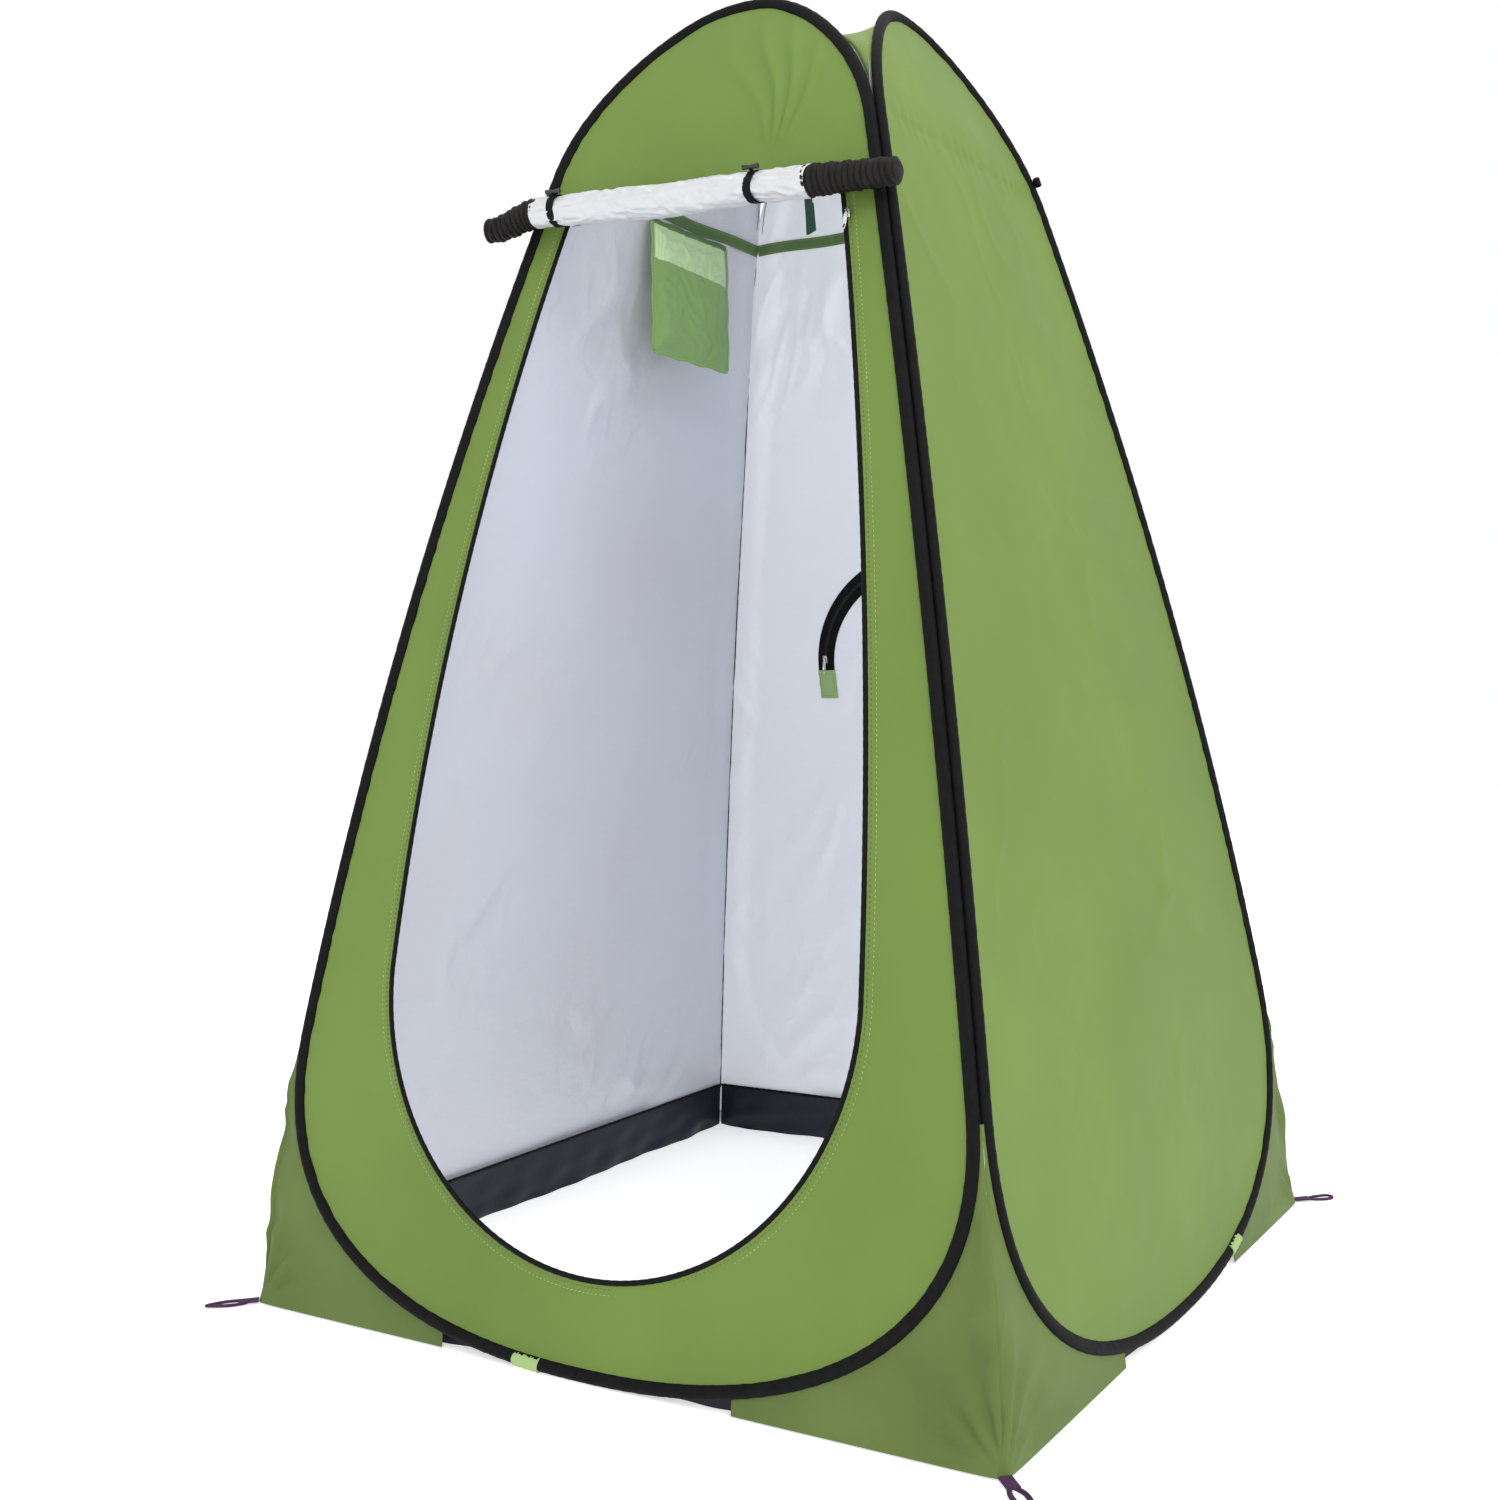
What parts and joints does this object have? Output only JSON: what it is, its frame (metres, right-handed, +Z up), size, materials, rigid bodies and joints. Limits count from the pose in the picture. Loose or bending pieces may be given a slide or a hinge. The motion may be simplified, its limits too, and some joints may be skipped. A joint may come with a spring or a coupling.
{
  "type": "privacy shower tent",
  "caption": "Square pop-up privacy tent of spring-steel hoops in fabric walls, with a rolled-up door, open floor, window, pocket and stake loops.",
  "frame": {"origin": "on the ground under the middle of the tent", "axes": "+Z up, the door wall faces -Y, +X to the right seen from in front of the door"},
  "size_m": [1.3098, 1.3098, 1.9001],
  "materials": {
    "shell_green": "coated polyester, semi-matte",
    "crown_green": "coated polyester, semi-matte",
    "gusset_green": "coated polyester, crumpled",
    "sleeve_black": "woven binding tape",
    "skirt_black": "plain weave",
    "lining_silver": "silver-coated, soft sheen",
    "roll_black": "gathered zip tape",
    "binding_black": "piped hem",
    "tie_black": "flat webbing",
    "zip_black": "zip tape",
    "zip_metal": "satin nickel",
    "toggle_black": "moulded",
    "light_green": "plain weave",
    "pocket_green": "mesh over plain cloth",
    "webbing_dark_green": "flat webbing",
    "webbing_purple": "flat webbing",
    "spring_steel": "bright"
  },
  "bodies": {
    "front": {"front_hoop": "spring_steel", "front_ferrule": "spring_steel", "front_sleeve": "sleeve_black", "front_sleeve_patch": "light_green", "front_panel": "shell_green", "front_skirt": "skirt_black", "front_roof": "crown_green", "gusset_fl_front": "gusset_green", "gusset_fr_front": "gusset_green", "door_piping": "binding_black", "door_roll": "lining_silver", "roll_end_left": "roll_black", "roll_end_right": "roll_black", "tie_strap_left": "tie_black", "tie_strap_right": "tie_black", "stake_loop_fl": "webbing_purple", "stake_loop_fr": "webbing_purple"},
    "right": {"right_hoop": "spring_steel", "right_ferrule": "spring_steel", "right_sleeve": "sleeve_black", "right_sleeve_patch": "light_green", "right_panel": "shell_green", "right_skirt": "skirt_black", "right_roof": "crown_green", "gusset_fr_right": "gusset_green", "gusset_rr_right": "gusset_green", "stake_loop_rr": "webbing_purple", "guy_loop": "tie_black"},
    "back": {"back_hoop": "spring_steel", "back_ferrule": "spring_steel", "back_sleeve": "sleeve_black", "back_sleeve_patch": "light_green", "back_panel": "shell_green", "back_skirt": "skirt_black", "back_roof": "crown_green", "gusset_rr_back": "gusset_green", "gusset_rl_back": "gusset_green", "back_seam_tape": "shell_green", "window_zip_tape": "zip_black", "window_end_tab": "light_green"},
    "left": {"left_hoop": "spring_steel", "left_ferrule": "spring_steel", "left_sleeve": "sleeve_black", "left_sleeve_patch": "light_green", "left_panel": "shell_green", "left_skirt": "skirt_black", "left_roof": "crown_green", "gusset_fl_left": "gusset_green", "gusset_rl_left": "gusset_green", "stake_loop_rl": "webbing_purple", "left_seam_tape": "shell_green"},
    "toggle_left": {"toggle_left": "toggle_black"},
    "toggle_right": {"toggle_right": "toggle_black"},
    "door_slider": {"door_zip_slider": "zip_metal"},
    "door_pull": {"door_zip_pull": "zip_metal"},
    "window_slider": {"window_zip_slider": "zip_metal"},
    "window_pull": {"window_zip_pull": "zip_metal"},
    "pocket": {"storage_pocket": "pocket_green"},
    "strap": {"hanging_strap": "webbing_dark_green"}
  },
  "joints": [
    {"name": "right_fold", "type": "hinge", "parent": "front", "child": "right", "pos_m": [0.652, -0.652, 0], "axis": [0.2031, -0.2031, -0.9579], "range_deg": [0, 80], "deforming": ["gusset_fr_front", "gusset_fr_right", "front_roof", "right_roof"]},
    {"name": "left_fold", "type": "hinge", "parent": "front", "child": "left", "pos_m": [-0.59, -0.59, 0], "axis": [-0.2066, -0.2066, -0.9564], "range_deg": [0, 80], "deforming": ["gusset_fl_front", "gusset_fl_left", "left_roof", "storage_pocket", "hanging_strap", "gusset_rl_left"]},
    {"name": "back_fold", "type": "hinge", "parent": "right", "child": "back", "pos_m": [0.59, 0.59, 0], "axis": [-0.2066, -0.2066, 0.9564], "range_deg": [0, 80], "deforming": ["gusset_rr_right", "gusset_rr_back", "back_roof", "gusset_rl_back"]},
    {"name": "door_slider_slide", "type": "slide", "parent": "front", "child": "door_slider", "axis": [0.1887, -0.2353, -0.9534], "range_m": [0, 0.3]},
    {"name": "door_pull_swing", "type": "hinge", "parent": "door_slider", "child": "door_pull", "pos_m": [0.25552, -0.3262, 1.52652], "axis": [-1, 0, 0], "range_deg": [0, 85]},
    {"name": "window_slider_slide", "type": "slide", "parent": "back", "child": "window_slider", "axis": [0.2254, -0.1993, 0.9536], "range_m": [0, 0.035]},
    {"name": "window_pull_swing", "type": "hinge", "parent": "window_slider", "child": "window_pull", "pos_m": [-0.24, 0.44074, 0.95415], "axis": [-1, 0, 0], "range_deg": [0, 85]},
    {"name": "pocket_swing", "type": "hinge", "parent": "left", "child": "pocket", "pos_m": [-0.264, 0.055, 1.653], "axis": [0, -1, 0], "range_deg": [0, 40]},
    {"name": "strap_swing", "type": "hinge", "parent": "front", "child": "strap", "pos_m": [0, 0, 1.858], "axis": [1, 0, 0], "range_deg": [-40, 40]},
    {"name": "toggle_left_turn", "type": "hinge", "parent": "front", "child": "toggle_left", "pos_m": [-0.22029, -0.35111, 1.61643], "axis": [0.0472, -0.5736, 0.8178], "range_deg": [-90, 90]},
    {"name": "toggle_right_turn", "type": "hinge", "parent": "front", "child": "toggle_right", "pos_m": [0.12114, -0.35111, 1.59675], "axis": [0.0472, -0.5736, 0.8178], "range_deg": [-90, 90]}
  ],
  "couplings": [
    {"joint": "left_fold", "follows": "right_fold", "ratio": 1},
    {"joint": "back_fold", "follows": "right_fold", "ratio": 1}
  ]
}
